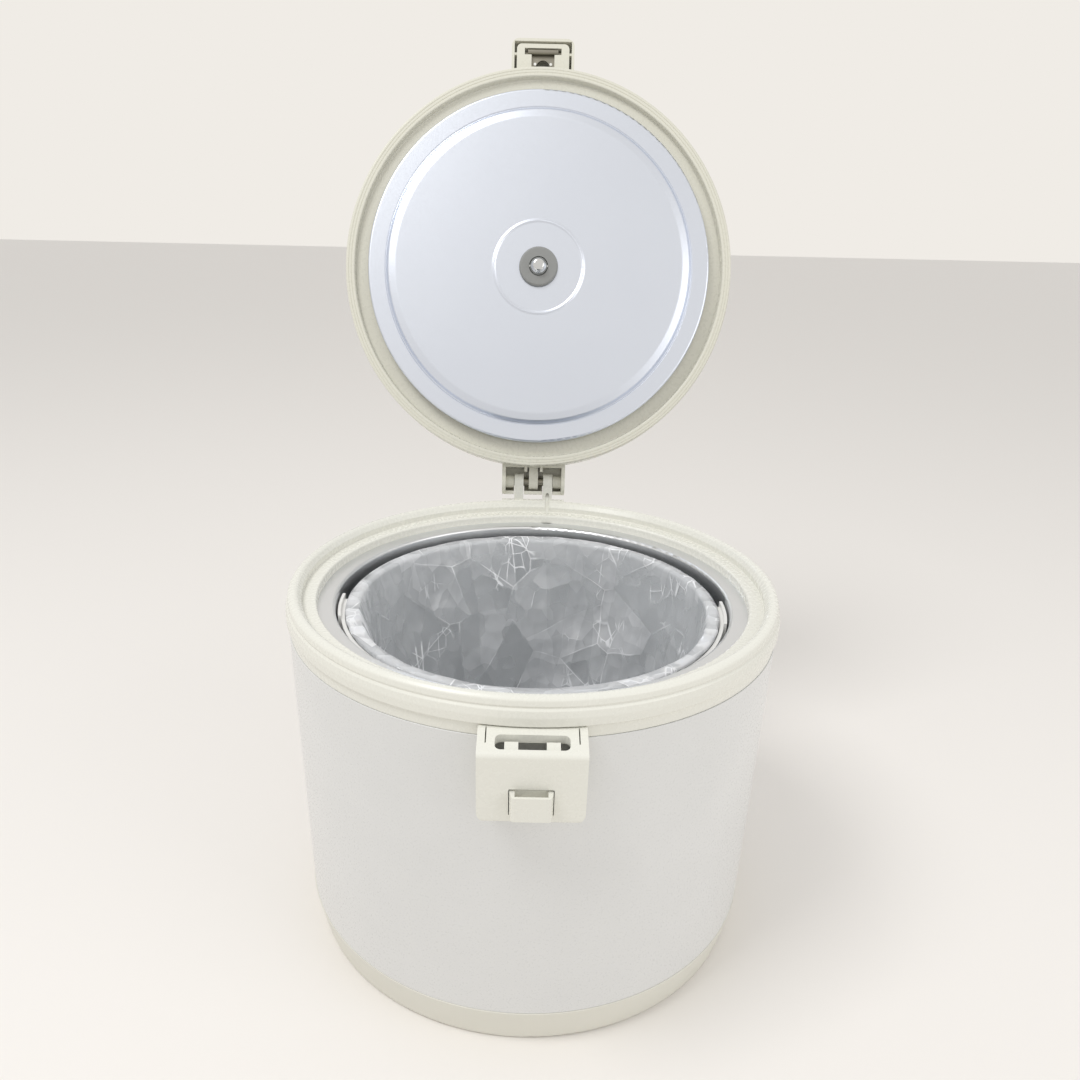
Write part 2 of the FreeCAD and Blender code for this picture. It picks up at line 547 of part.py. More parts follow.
def make_latch_housing():
    top_back, top_front = LATCH_TOP_BACK, LATCH_TOP_FRONT
    front = -LATCH_FRONT
    outline = rectangle(-LATCH_HALF_WIDTH, LATCH_HALF_WIDTH, LATCH_BOTTOM, top_back + 20, LATCH_CORNER)
    side = side_plate([(front, LATCH_BOTTOM, 3), (front, top_front, 3.2), (-RING_RADIUS, top_back),
                       (-160, top_back), (-160, LATCH_BOTTOM)], -LATCH_HALF_WIDTH, LATCH_HALF_WIDTH)
    body = front_plate(outline, front, -160).common(side)
    wall = LATCH_WALL
    half = LATCH_HALF_WIDTH - wall
    room_top = top_front - 2.2
    room = side_plate([(front + wall, LATCH_BOTTOM + wall, 2), (front + wall, room_top),
                       (-150, room_top + 2.0), (-150, LATCH_BOTTOM + wall)], -half, half)
    body = body.cut(room)
    for x, z in LATCH_SCREWS:
        body = body.fuse(rod(3.6, (x, -LATCH_FRONT + 1, z), (x, -150, z)))
    body = body.cut(rod(SHELL_RADIUS + 0.2, (0, 0, 150), (0, 0, 300)))
    for x, z in LATCH_SCREWS:
        body = body.cut(rod(1.4 + SLIP, (x, -LATCH_FRONT + wall + 5, z), (x, -140, z)))
    slot = floor_plate(rectangle(-SLOT_HALF_WIDTH, SLOT_HALF_WIDTH, -SLOT_FRONT, -SLOT_BACK, 3.2),
                       room_top - 1, top_back + 5)
    window = front_plate(rectangle(-TAB_ROOT_HALF - 0.5, TAB_ROOT_HALF + 0.5, TAB_BOTTOM - 0.6,
                                   TAB_TOP + 1.3, 0.8), front - 5, front + wall + 1)
    body = body.cut(slot).cut(window)
    for side_x in (-1, 1):
        seam = box(-0.35, 0.35, -SLOT_BACK - 6, -RING_RADIUS + 2, top_front - 0.8, top_back + 2)
        seam.translate(Vector(side_x * (LATCH_HALF_WIDTH - 4.6), 0, 0))
        body = body.cut(seam)
    reach = half + 1
    return body.cut(rod(LEVER_PIN_RADIUS + 0.02, (-reach, LEVER_PIN_Y, LEVER_PIN_Z),
                        (reach, LEVER_PIN_Y, LEVER_PIN_Z)))


def make_latch_pin():
    reach = LATCH_HALF_WIDTH - LATCH_WALL + 0.9
    return rod(LEVER_PIN_RADIUS, (-reach, LEVER_PIN_Y, LEVER_PIN_Z), (reach, LEVER_PIN_Y, LEVER_PIN_Z))


SPRING_RADIUS = 2.7
SPRING_WIRE = 0.4
SPRING_PITCH = 1.15
SPRING_TURNS = 4
SPRING_START = 12.2
SPRING_LEG = 8.0


def make_latch_spring():
    """Torsion coil round the lever pin, beside the lever, with one leg back against the shell side."""
    height = SPRING_PITCH * SPRING_TURNS
    helix = Part.makeHelix(SPRING_PITCH, height, SPRING_RADIUS)
    rise = SPRING_PITCH / (2 * math.pi * SPRING_RADIUS)
    along = Vector(0, 1, rise)
    along.normalize()
    end = Vector(SPRING_RADIUS, 0, height)
    leg = Part.LineSegment(end, end + along * SPRING_LEG).toShape()
    path = Part.Wire(helix.Edges + [leg])
    ring = Part.Wire([Part.makeCircle(SPRING_WIRE, Vector(SPRING_RADIUS, 0, 0), along)])
    spring = path.makePipeShell([ring], True, True)
    spring.rotate(Vector(0, 0, 0), Vector(0, 1, 0), 90)
    spring.translate(Vector(SPRING_START, LEVER_PIN_Y, LEVER_PIN_Z))
    return spring


HOOK_STEM_FRONT = LEVER_PIN_Y + 1.2
HOOK_STEM_BACK = LEVER_PIN_Y + 4.0
HOOK_UNDER = SHELL_TOP + 0.2


def make_release_lever():
    """Rocker: two forward hooks above the pin and a scooped pull tab below, through the window."""
    half = HOOK_CENTRE + HOOK_WIDTH / 2
    low, neck = LEVER_PIN_Z - 3, LEVER_PIN_Z + 5
    web = front_plate([(-9, low), (9, low), (9, neck), (half, neck + 5), (half, 238), (-half, 238),
                       (-half, neck + 5), (-9, neck)], HOOK_STEM_FRONT, HOOK_STEM_BACK)
    hub = rod(4.2, (-9, LEVER_PIN_Y, LEVER_PIN_Z), (9, LEVER_PIN_Y, LEVER_PIN_Z))
    lever = web.fuse(hub)
    hook = [(HOOK_STEM_BACK, 236), (HOOK_STEM_BACK, 248.0, 1.2), (-184.6, 245.7, 0.8),
            (-184.6, HOOK_UNDER, 0.5), (HOOK_STEM_FRONT, HOOK_UNDER, 0.4), (HOOK_STEM_FRONT, 236)]
    for centre in (-HOOK_CENTRE, HOOK_CENTRE):
        lever = lever.fuse(side_plate(hook, centre - HOOK_WIDTH / 2, centre + HOOK_WIDTH / 2))
    tip = -LATCH_FRONT - TAB_REACH
    root, nose = TAB_ROOT_HALF, TAB_TIP_HALF
    tab = floor_plate([(-root, LEVER_PIN_Y + 2), (-root, -LATCH_FRONT - 0.6), (-nose, tip, 1.6),
                       (nose, tip, 1.6), (root, -LATCH_FRONT - 0.6), (root, LEVER_PIN_Y + 2)],
                      TAB_BOTTOM, TAB_TOP)
    scoop = side_plate([(-LATCH_FRONT + 1.5, TAB_TOP + 1), (-LATCH_FRONT + 1.5, TAB_TOP - 8, 2.5),
                        (tip + 1.8, TAB_TOP - 6, 2.0), (tip + 1.8, TAB_TOP + 1)], -nose + 1.6, nose - 1.6)
    behind = box(-root - 1, root + 1, -LATCH_FRONT + LATCH_WALL + 1.0, LEVER_PIN_Y + 3, TAB_BOTTOM - 1,
                 TAB_TOP + 1)
    tab = tab.cut(behind)
    link = box(-9, 9, -LATCH_FRONT + 2.5, LEVER_PIN_Y, LEVER_PIN_Z - 4.2, TAB_TOP)
    lever = lever.fuse(tab.cut(scoop)).fuse(link)
    pin_hole = rod(LEVER_PIN_RADIUS + SLIP, (-20, LEVER_PIN_Y, LEVER_PIN_Z), (20, LEVER_PIN_Y, LEVER_PIN_Z))
    return lever.cut(pin_hole)


def make_latch_screws():
    screws = []
    for x, z in LATCH_SCREWS:
        head = rod(3.0, (x, -164.6, z), (x, -167.0, z))
        screws.append(head.fuse(rod(1.4, (x, -166, z), (x, -178, z))))
    return screws


# ---- bucket, bag and bail ---------------------------------------------------------------------------
BUCKET_BASE = CHAMBER_FLOOR + 0.4
LIP_UNDER = BUCKET_RIM_HEIGHT - 2.5


def make_bucket():
    top_outside = BUCKET_RIM_RADIUS - BUCKET_LIP
    bucket = lathe([
        (0, BUCKET_BASE), (BUCKET_FOOT_RADIUS, BUCKET_BASE, 9), (top_outside, LIP_UNDER),
        (BUCKET_RIM_RADIUS, LIP_UNDER), (BUCKET_RIM_RADIUS, BUCKET_RIM_HEIGHT, 1.2),
        (top_outside - BUCKET_WALL, BUCKET_RIM_HEIGHT, 1.4),
        (BUCKET_FOOT_RADIUS - BUCKET_WALL, BUCKET_BASE + BUCKET_WALL, 8), (0, BUCKET_BASE + BUCKET_WALL)])
    for side_x in (-1, 1):
        ear = rod(4.3, (side_x * (top_outside - 1.5), 0, BAIL_HEIGHT), (side_x * BUCKET_RIM_RADIUS, 0, BAIL_HEIGHT))
        bucket = bucket.fuse(ear.cut(rod(top_outside - 1, (0, 0, 200), (0, 0, 300))))
        pin_start = side_x * (top_outside - 0.5)
        pin_end = side_x * (BAIL_INSIDE + BAIL_THICKNESS + 1.4)
        bucket = bucket.fuse(rod(PIVOT_RADIUS, (pin_start, 0, BAIL_HEIGHT), (pin_end, 0, BAIL_HEIGHT)))
    return bucket


def make_bag():
    """Thin film that lines the bucket and turns out over its rim."""
    gap = 0.5
    inner = BUCKET_RIM_RADIUS - BUCKET_LIP - BUCKET_WALL
    top = BUCKET_RIM_HEIGHT + 0.3
    low = BUCKET_BASE + BUCKET_WALL + 0.3
    foot = BUCKET_FOOT_RADIUS - BUCKET_WALL - gap
    hem = BAIL_HEIGHT + PIVOT_RADIUS + 0.3
    return lathe([
        (0, low), (foot, low, 9), (inner - gap, top), (BUCKET_RIM_RADIUS + gap, top),
        (BUCKET_RIM_RADIUS + gap, hem), (BUCKET_RIM_RADIUS + gap + BAG_FILM, hem),
        (BUCKET_RIM_RADIUS + gap + BAG_FILM, top + BAG_FILM), (inner - gap - BAG_FILM, top + BAG_FILM),
        (foot - BAG_FILM, low + BAG_FILM, 8.5), (0, low + BAG_FILM)])


def half_band(inside, outside, z_low, z_high):
    band = pipe(outside, inside, (0, 0, z_low), (0, 0, z_high))
    return band.cut(box(-200, 200, 0, 200, z_low - 1, z_high + 1))


def make_bail():
    """Flat half-round handle, folded forward round the rim, with an eye at each end."""
    outside = BAIL_INSIDE + BAIL_THICKNESS
    low, high = BAIL_HEIGHT - BAIL_DEPTH / 2, BAIL_HEIGHT + BAIL_DEPTH / 2
    bail = half_band(BAIL_INSIDE, outside, low, high)
    for side_x in (-1, 1):
        eye = rod(BAIL_DEPTH / 2, (side_x * BAIL_INSIDE, 0, BAIL_HEIGHT), (side_x * outside, 0, BAIL_HEIGHT))
        bail = bail.fuse(eye)
    hole = rod(PIVOT_RADIUS + SLIP, (-150, 0, BAIL_HEIGHT), (150, 0, BAIL_HEIGHT))
    return bail.cut(hole)


def make_bail_grips():
    """White moulded cheeks round the two eyes of the bail."""
    inside = BAIL_INSIDE + BAIL_THICKNESS + 0.02
    grips = []
    for side_x in (-1, 1):
        grip = pipe(inside + 2.0, inside, (0, 0, BAIL_HEIGHT - 5.2), (0, 0, BAIL_HEIGHT + 6.5))
        window = box(100, 150, -PIVOT_LENGTH + 6, 5.2, 200, 300)
        if side_x < 0:
            window = window.mirror(Vector(0, 0, 0), Vector(1, 0, 0))
        grip = grip.common(window)
        hole = rod(PIVOT_RADIUS + 0.4, (-150, 0, BAIL_HEIGHT), (150, 0, BAIL_HEIGHT))
        grips.append(grip.cut(hole))
    return grips


# ---- lid, modelled closed ---------------------------------------------------------------------------
LID_SCREWS = round_places(6, LID_SCREW_CIRCLE, 0)
WEB_TOP = ANNULUS_HEIGHT + LID_WEB


def make_lid_frame():
    """Moulded underside of the lid: ribbed rim, ring-shaped recess, web and stud seat."""
    rim_inside = LID_RADIUS - RIM_WIDTH
    ridge = 0.35
    ridges = []
    for i in range(2):
        radius = rim_inside + 2.6 + 2.2 * i
        ridges += [(radius - ridge, RIM_HEIGHT), (radius, RIM_HEIGHT + ridge), (radius + ridge, RIM_HEIGHT)]
    profile = [(STUD_RADIUS - 2.4, ANNULUS_HEIGHT), (rim_inside - 1, ANNULUS_HEIGHT, 1),
               (rim_inside, RIM_HEIGHT, 1.2)] + ridges
    profile += [(LID_RADIUS, RIM_HEIGHT, 1.8), (LID_RADIUS, LID_SEAM), (LID_RADIUS - LID_WALL, LID_SEAM),
                (LID_RADIUS - LID_WALL, RIM_HEIGHT + LID_WEB), (rim_inside + LID_WEB, RIM_HEIGHT + LID_WEB),
                (rim_inside + LID_WEB, WEB_TOP), (STUD_RADIUS - 2.4, WEB_TOP)]
    frame = lathe(profile)
    for x, y in LID_SCREWS:
        frame = frame.cut(rod(1.8, (x, y, ANNULUS_HEIGHT - 1), (x, y, WEB_TOP + 1)))
    return frame


def make_inner_lid():
    """Pressed aluminium plate: turned-up edge, flat border, proud disc and a bead round the centre."""
    t = PLATE_THICKNESS
    hole = GROMMET_RADIUS - 4
    return lathe([
        (PLATE_RADIUS, PLATE_HEIGHT + 6), (PLATE_RADIUS, PLATE_HEIGHT, 1.8), (DISC_OUTER + 1.8, PLATE_HEIGHT, 0.5),
        (DISC_OUTER + 0.9, PLATE_HEIGHT + 0.6, 0.5), (DISC_OUTER, PLATE_HEIGHT - 0.2, 0.5),
        (DISC_OUTER - 1.6, DISC_HEIGHT + 1.3, 1.5), (DISC_FLAT, DISC_HEIGHT, 6),
        (BEAD_RADIUS + 1.6, DISC_HEIGHT, 1), (BEAD_RADIUS, DISC_HEIGHT - 0.7, 1),
        (BEAD_RADIUS - 1.6, DISC_HEIGHT, 1), (hole, DISC_HEIGHT), (hole, DISC_HEIGHT + t),
        (DISC_FLAT - 0.4, DISC_HEIGHT + t, 5), (DISC_OUTER - 2.6, DISC_HEIGHT + 2.2, 1),
        (DISC_OUTER - 0.8, PLATE_HEIGHT + t + 0.6), (PLATE_RADIUS - t, PLATE_HEIGHT + t, 0.8),
        (PLATE_RADIUS - t, PLATE_HEIGHT + 6)])


def make_lid_gasket():
    outside = PLATE_RADIUS - PLATE_THICKNESS - GASKET_GAP
    low = PLATE_HEIGHT + PLATE_THICKNESS + GASKET_GAP
    return lathe([(outside - 4, low), (outside, low, 1.6), (outside, ANNULUS_HEIGHT),
                  (outside - 4, ANNULUS_HEIGHT)])


def make_stud_grommet():
    """Grey rubber bush that seals the stud in the hole of the inner lid."""
    r = GROMMET_RADIUS
    hole = r - 4
    low = DISC_HEIGHT
    top = low + PLATE_THICKNESS
    return lathe([
        (STUD_RADIUS - 2.4, low - 1.2), (STUD_RADIUS + 0.2, low - 1.2), (STUD_RADIUS + 0.2, low - 3.0),
        (r - 1.4, low - 3.0, 1.6), (r, low, 1.2),
        (hole, low), (hole, top), (r - 1, top), (r - 1, top + 2.5, 1), (STUD_RADIUS - 2.4, top + 2.5)])


def make_suction_stud():
    """Bright domed stud with a cross-drilled suction passage; its thread holds the inner lid."""
    low = DISC_HEIGHT - 8.6
    shank = STUD_RADIUS - 2.4
    stud = lathe([(0, low), (4.0, low, 2.2), (STUD_RADIUS - 1.2, low + 3.2, 2), (STUD_RADIUS, low + 6.2, 1),
                  (STUD_RADIUS, DISC_HEIGHT - 1.2 - 0.1), (shank - 0.05, DISC_HEIGHT - 1.3),
                  (shank - 0.05, WEB_TOP + 3), (0, WEB_TOP + 3)])
    passage = rod(1.8, (0, 0, low + 4.4), (0, 0, WEB_TOP + 4))
    cross = rod(1.2, (-12, 0, low + 5.0), (12, 0, low + 5.0))
    return stud.cut(passage).cut(cross)


def make_stud_nut():
    shank = STUD_RADIUS - 2.4
    outline = round_places(6, 7.2)
    nut = floor_plate([(x, y) for x, y in outline], WEB_TOP, WEB_TOP + 2.8)
    return nut.cut(rod(shank, (0, 0, WEB_TOP - 1), (0, 0, WEB_TOP + 5)))


DUCT_REAR = SHELL_RADIUS - 27.0           # back face of the lid duct, where the hinge tab meets it


def make_lid_duct():
    """Flat duct on the web, from the stud to the hinge tab."""
    low = WEB_TOP
    high = low + 10
    rear = DUCT_REAR
    outer = box(-11, 11, -11, rear, low, high).fuse(box(-11, 11, rear - 14, rear, low, HINGE_Z + 3.4))
    inner = box(-9.6, 9.6, -9.6, rear - 1.4, low, high - 1.4)
    inner = inner.fuse(box(-9.6, 9.6, rear - 12.6, rear - 1.4, low, HINGE_Z + 2.0))
    port = rod(1.8, (0, rear - 5, HINGE_Z), (0, rear + 1, HINGE_Z))
    return outer.cut(inner).cut(port)


def lid_outline(inset):
    """Outer skin of the lid as (radius, height, corner) points, moved inward by inset."""
    return [(0, LID_TOP - inset), (85, LID_TOP - inset, 400), (LID_RADIUS - inset, LID_EDGE_TOP - inset, 15 - inset)]


def make_lid_shell():
    outer = lathe(lid_outline(0) + [(LID_RADIUS, LID_SEAM + 0.2), (0, LID_SEAM + 0.2)])
    room = lathe(lid_outline(LID_WALL) + [(LID_RADIUS - LID_WALL, LID_SEAM - 1), (0, LID_SEAM - 1)])
    wall = NOSE_WALL
    front, half = -NOSE_FRONT, NOSE_HALF_WIDTH
    nose = side_plate([(front, NOSE_BOTTOM), (front, NOSE_TOP, 9), (-140, NOSE_TOP + 3), (-140, NOSE_BOTTOM)],
                      -half, half)
    nose = nose.common(floor_plate(rectangle(-half, half, front, -100, 6), NOSE_BOTTOM, NOSE_TOP + 4))
    nose_room = side_plate([(front + wall, NOSE_BOTTOM - 1), (front + wall, NOSE_TOP - wall, 7),
                            (-150, NOSE_TOP + 3 - wall), (-150, NOSE_BOTTOM - 1)], -half + wall, half - wall)
    frame_room = rod(LID_RADIUS + FIT, (0, 0, 200), (0, 0, LID_SEAM + 0.2))
    shell = outer.fuse(nose).fuse(barrel_solid()).cut(room).cut(frame_room)
    inside_wall = rod(LID_RADIUS, (0, 0, 200), (0, 0, 320))
    shell = shell.cut(nose_room.cut(inside_wall)).cut(barrel_room())
    for x, y in LID_SCREWS:
        boss = rod(3.8, (x, y, WEB_TOP), (x, y, LID_TOP - 11))
        shell = shell.fuse(boss).cut(rod(1.5 + SLIP, (x, y, WEB_TOP - 1), (x, y, WEB_TOP + 12)))
    for bridge in both_sides(box(half - wall - CATCH_GAP, half - wall + 1, -174.6, -172.8, NOSE_BOTTOM + 0.6,
                                 NOSE_BOTTOM + 5)):
        shell = shell.fuse(bridge)
    shell = shell.fuse(hinge_tab()).fuse(Part.Compound(hinge_ribs()))
    for boss in hinge_bosses():
        shell = shell.fuse(boss)
    shell = shell.cut(rod(HINGE_TUBE_RADIUS + HINGE_SLIP, (-HOUSING_HALF_WIDTH + 2.5, HINGE_Y, HINGE_Z),
                          (HOUSING_HALF_WIDTH - 2.5, HINGE_Y, HINGE_Z)))
    shell = shell.cut(rod(1.6, (0, HINGE_Y - 30, HINGE_Z), (0, HINGE_Y, HINGE_Z)))
    return shell.cut(panel_hole()).removeSplitter()


def barrel_solid():
    """Hinge housing on the back of the lid, round the hinge axis."""
    half = HOUSING_HALF_WIDTH
    drum = rod(BARREL_RADIUS, (-half, HINGE_Y, HINGE_Z), (half, HINGE_Y, HINGE_Z))
    neck = side_plate([(LID_RADIUS - 10, LID_SEAM + 1.5), (HINGE_Y - 3, LID_SEAM + 1.5),
                       (HINGE_Y, HINGE_Z), (HINGE_Y, HINGE_Z + BARREL_RADIUS - 0.3),
                       (LID_RADIUS - 10, HINGE_Z + BARREL_RADIUS - 3)], -half, half)
    return drum.fuse(neck)


def barrel_room():
    """Space inside the housing for the ears, open below and slotted behind where the ears swing."""
    half = HOUSING_HALF_WIDTH - 3
    r = BARREL_RADIUS - BARREL_WALL
    wall_back = LID_RADIUS + 0.6
    drum = rod(r, (-half, HINGE_Y, HINGE_Z), (half, HINGE_Y, HINGE_Z))
    room = drum.fuse(box(-half, half, wall_back, HINGE_Y, LID_SEAM - 2, HINGE_Z + r - 2))
    room = room.fuse(box(-half, half, wall_back, HINGE_Y + 20, LID_SEAM - 2, HINGE_Z - 3))
    slot_half = EAR_THICKNESS / 2 + 0.6
    for centre in (-EAR_CENTRE, EAR_CENTRE):
        room = room.fuse(box(centre - slot_half, centre + slot_half, HINGE_Y + 2, HINGE_Y + 20,
                             HINGE_Z - 15, HINGE_Z + 15))
    return room


def hinge_tab():
    """Centre tab of the lid, through which the air passes into the hinge tube."""
    return side_plate([(DUCT_REAR, HINGE_Z - 6), (HINGE_Y + 6.6, HINGE_Z - 6.6, 6.6),
                       (HINGE_Y + 6.6, HINGE_Z + 6.6, 6.6), (DUCT_REAR, HINGE_Z + 3)],
                      -TAB_HALF_WIDTH, TAB_HALF_WIDTH)


def hinge_ribs():
    rib = side_plate([(LID_RADIUS - 1, LID_SEAM + 1), (LID_RADIUS + 4.4, LID_SEAM + 1),
                      (LID_RADIUS + 4.4, HINGE_Z + 7), (LID_RADIUS - 1, HINGE_Z + 7)], 5.4, 7.9)
    return both_sides(rib)


def hinge_bosses():
    ear_outside = EAR_CENTRE + EAR_THICKNESS / 2
    boss = rod(BOSS_RADIUS, (ear_outside + 0.4, HINGE_Y, HINGE_Z), (HOUSING_HALF_WIDTH - 2, HINGE_Y, HINGE_Z))
    return both_sides(boss)


STRIKER_Y = -(SHELL_RADIUS + 5.4)
STRIKER_PLATE = NOSE_BOTTOM + 3.2


def make_catch_housing():
    """Moulded block in the nose with a T-shaped opening for the striker."""
    half = NOSE_HALF_WIDTH - NOSE_WALL - CATCH_GAP
    front = -NOSE_FRONT + NOSE_WALL + CATCH_GAP
    low, high = NOSE_BOTTOM, NOSE_BOTTOM + 7
    block = floor_plate(rectangle(-half, half, front, -150, 4.0), low, high)
    block = block.cut(rod(LID_RADIUS, (0, 0, low - 1), (0, 0, high + 1)))
    wide = box(-15, 15, STRIKER_Y - 2.6, STRIKER_Y + 2.4, low - 1, high + 1)
    stem = box(-9.4, 9.4, STRIKER_Y, STRIKER_Y + 11.8, low - 1, high + 1)
    return block.cut(wide).cut(stem)


def make_catch_bar():
    """Steel striker: a cross bar in the wide part of the opening and a plate with an arched cut-out."""
    bar = rod(1.9, (-12.4, STRIKER_Y, NOSE_BOTTOM + 1.2), (12.4, STRIKER_Y, NOSE_BOTTOM + 1.2))
    upright = box(-12.4, 12.4, STRIKER_Y - 0.6, STRIKER_Y + 0.6, NOSE_BOTTOM + 1, STRIKER_PLATE + 1)
    plate = box(-9.35, 9.35, STRIKER_Y - 0.6, STRIKER_Y + 11.7, STRIKER_PLATE, STRIKER_PLATE + 1.2)
    arch = rod(5.6, (0, STRIKER_Y + 11.0, STRIKER_PLATE - 1), (0, STRIKER_Y + 11.0, STRIKER_PLATE + 2))
    hanger = box(-14.95, 14.95, STRIKER_Y - 0.6, STRIKER_Y + 0.6, STRIKER_PLATE, STRIKER_PLATE + 2.4)
    return bar.fuse(upright).fuse(plate.cut(arch)).fuse(hanger)


def make_catch_rivets():
    """Two white rivets through the striker plate."""
    rivets = []
    for x in (-6.5, 6.5):
        rivets.append(rod(1.1, (x, STRIKER_Y + 8.6, STRIKER_PLATE - 0.7), (x, STRIKER_Y + 8.6, STRIKER_PLATE)))
    return rivets


def make_lid_screws():
    return [upright_screw(x, y, ANNULUS_HEIGHT, 1, 12.0) for x, y in LID_SCREWS]


# ---- control panel on the lid, in its own frame (x across, y up the slope, z out of the lid) ----------
PANEL_SLOPE_DEG = math.degrees(math.atan2(LID_TOP - LID_EDGE_TOP, LID_RADIUS - 85))
PANEL_CENTRE = Vector(0, -118.0, LID_TOP - (118.0 - 85) * math.tan(math.radians(PANEL_SLOPE_DEG)))
BUTTON_RADIUS = 9.0
BUTTON_TRAVEL = 2.0


def on_panel(shape):
    placed = shape.copy()
    placed.rotate(Vector(0, 0, 0), Vector(1, 0, 0), PANEL_SLOPE_DEG)
    placed.translate(PANEL_CENTRE)
    return placed


def panel_hole():
    return on_panel(floor_plate(rectangle(-28.15, 28.15, -13.15, 13.15, 6.15), -12, 12))


def make_control_panel():
    panel = floor_plate(rectangle(-28, 28, -13, 13, 6), -5, 0.8)
    panel = panel.cut(rod(BUTTON_RADIUS + 0.35, (-8, 0, -6), (-8, 0, 2)))
    panel = panel.cut(rod(3 + SLIP, (15, 0, -6), (15, 0, 2)))
    for x in (-24, 24):
        panel = panel.fuse(rod(2.4, (x, 0, -12), (x, 0, -4)))
    return on_panel(panel)


def make_start_button():
    cap = rod(BUTTON_RADIUS, (-8, 0, -4), (-8, 0, 2.8))
    return on_panel(cap.fuse(rod(2.2, (-8, 0, -8.0), (-8, 0, -3))))


def make_status_lamp():
    return on_panel(rod(3, (15, 0, -4.5), (15, 0, 1.2)))


def make_panel_board():
    board = box(-27, 27, -10, 10, -13.6, -12)
    switch = box(-11.5, -4.5, -3.5, 3.5, -12.2, -10.4)
    return on_panel(board.fuse(switch).fuse(rod(2, (15, 0, -12.2), (15, 0, -4.6))))


# ---- assembly -----------------------------------------------------------------------------------------
BODY_NODES = {
    "base_pan": make_base_pan, "bottom_cover": make_bottom_cover, "foot_pads": make_foot_pads,
    "cover_screws": make_cover_screws, "outer_shell": make_outer_shell, "cord_gland": make_cord_gland,
    "control_board": make_control_board, "transformer_core": make_transformer,
    "transformer_coil": make_transformer_coil, "motor_mounts": make_motor_mounts,
    "motor_case": make_motor_case, "motor_stator": make_motor_stator, "motor_bearings": make_motor_bearings,
    "fan_case": make_fan_case, "fan_cover": make_fan_cover, "impeller": make_impeller,
    "motor_shaft": make_motor_shaft, "motor_rotor": make_motor_rotor, "inlet_duct": make_inlet_duct,
    "suction_hose": make_suction_hose, "outlet_duct": make_outlet_duct,
    "exhaust_filter": make_exhaust_filter, "vacuum_chamber": make_vacuum_chamber,
    "flange_screws": make_flange_screws,
    "shoulder_ring": make_shoulder_ring, "hinge_tube": make_hinge_tube,
    "latch_housing": make_latch_housing, "latch_pin": make_latch_pin, "latch_spring": make_latch_spring,
    "release_lever": make_release_lever, "latch_screws": make_latch_screws, "bucket": make_bucket,
    "bag": make_bag, "bail": make_bail, "bail_grips": make_bail_grips,
}
LID_NODES = {
    "lid_shell": make_lid_shell, "lid_frame": make_lid_frame, "inner_lid": make_inner_lid,
    "lid_gasket": make_lid_gasket, "stud_grommet": make_stud_grommet, "suction_stud": make_suction_stud,
    "stud_nut": make_stud_nut, "lid_duct": make_lid_duct, "catch_housing": make_catch_housing,
    "catch_bar": make_catch_bar, "catch_rivets": make_catch_rivets, "lid_screws": make_lid_screws,
    "control_panel": make_control_panel, "start_button": make_start_button,
    "status_lamp": make_status_lamp, "panel_board": make_panel_board,
}


def opened(shape):
    """The lid stands open: turned back about the hinge axis from the closed place."""
    turned = shape.copy()
    turned.rotate(HINGE_AXIS_POINT, Vector(1, 0, 0), -LID_OPEN_DEG)
    return turned


def as_shape(made):
    return Part.Compound(made) if isinstance(made, list) else made


os.makedirs("parts", exist_ok=True)
for name, make in BODY_NODES.items():
    as_shape(make()).exportStep("parts/%s.step" % name)
for name, make in LID_NODES.items():
    opened(as_shape(make())).exportStep("parts/%s.step" % name)
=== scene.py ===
import math

import bpy
import numpy as np
from mathutils import Matrix, Vector


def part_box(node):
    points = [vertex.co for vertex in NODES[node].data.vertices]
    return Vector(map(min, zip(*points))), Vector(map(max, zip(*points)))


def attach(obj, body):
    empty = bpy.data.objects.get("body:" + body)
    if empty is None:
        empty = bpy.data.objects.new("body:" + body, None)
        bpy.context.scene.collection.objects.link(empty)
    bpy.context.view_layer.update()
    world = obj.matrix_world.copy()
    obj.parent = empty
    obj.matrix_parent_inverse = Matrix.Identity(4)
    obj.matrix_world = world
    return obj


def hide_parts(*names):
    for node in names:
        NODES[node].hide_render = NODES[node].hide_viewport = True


bl_info = {
    "name": "Suction trash compactor",
    "version": (1, 0, 0),
    "blender": (4, 5, 0),
    "location": "View3D > Sidebar > Compactor",
    "description": "Finishes for the compactor's moulded, painted and metal pieces, and its crinkled bag",
    "category": "Object",
}

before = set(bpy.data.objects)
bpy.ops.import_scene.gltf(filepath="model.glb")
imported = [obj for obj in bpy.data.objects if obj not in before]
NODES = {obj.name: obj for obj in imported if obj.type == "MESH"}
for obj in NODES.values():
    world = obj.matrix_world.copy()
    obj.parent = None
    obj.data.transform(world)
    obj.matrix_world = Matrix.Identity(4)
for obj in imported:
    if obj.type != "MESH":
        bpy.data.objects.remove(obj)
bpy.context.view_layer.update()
MM = 0.001


# ---- colour and node helpers ----------------------------------------------------------------------
def linear(hex_colour, alpha=1.0):
    """Linear RGBA of an sRGB hex colour such as "#E8E6DE"."""
    parts = np.array([int(hex_colour[i:i + 2], 16) for i in (1, 3, 5)]) / 255.0
    low = parts / 12.92
    high = ((parts + 0.055) / 1.055) ** 2.4
    return tuple(np.where(parts <= 0.04045, low, high).tolist()) + (alpha,)


def add(tree, kind, values=None, links=None, **settings):
    """One node of a kind, with its attributes, its input values and the sockets linked into it."""
    made = tree.nodes.new(kind)
    for key, value in settings.items():
        setattr(made, key, value)
    for key, value in (values or {}).items():
        made.inputs[key].default_value = value
    for key, socket in (links or {}).items():
        tree.links.new(socket, made.inputs[key])
    return made


def new_material(name):
    material = bpy.data.materials.new(name)
    material.use_nodes = True
    tree = material.node_tree
    tree.nodes.clear()
    return material, tree


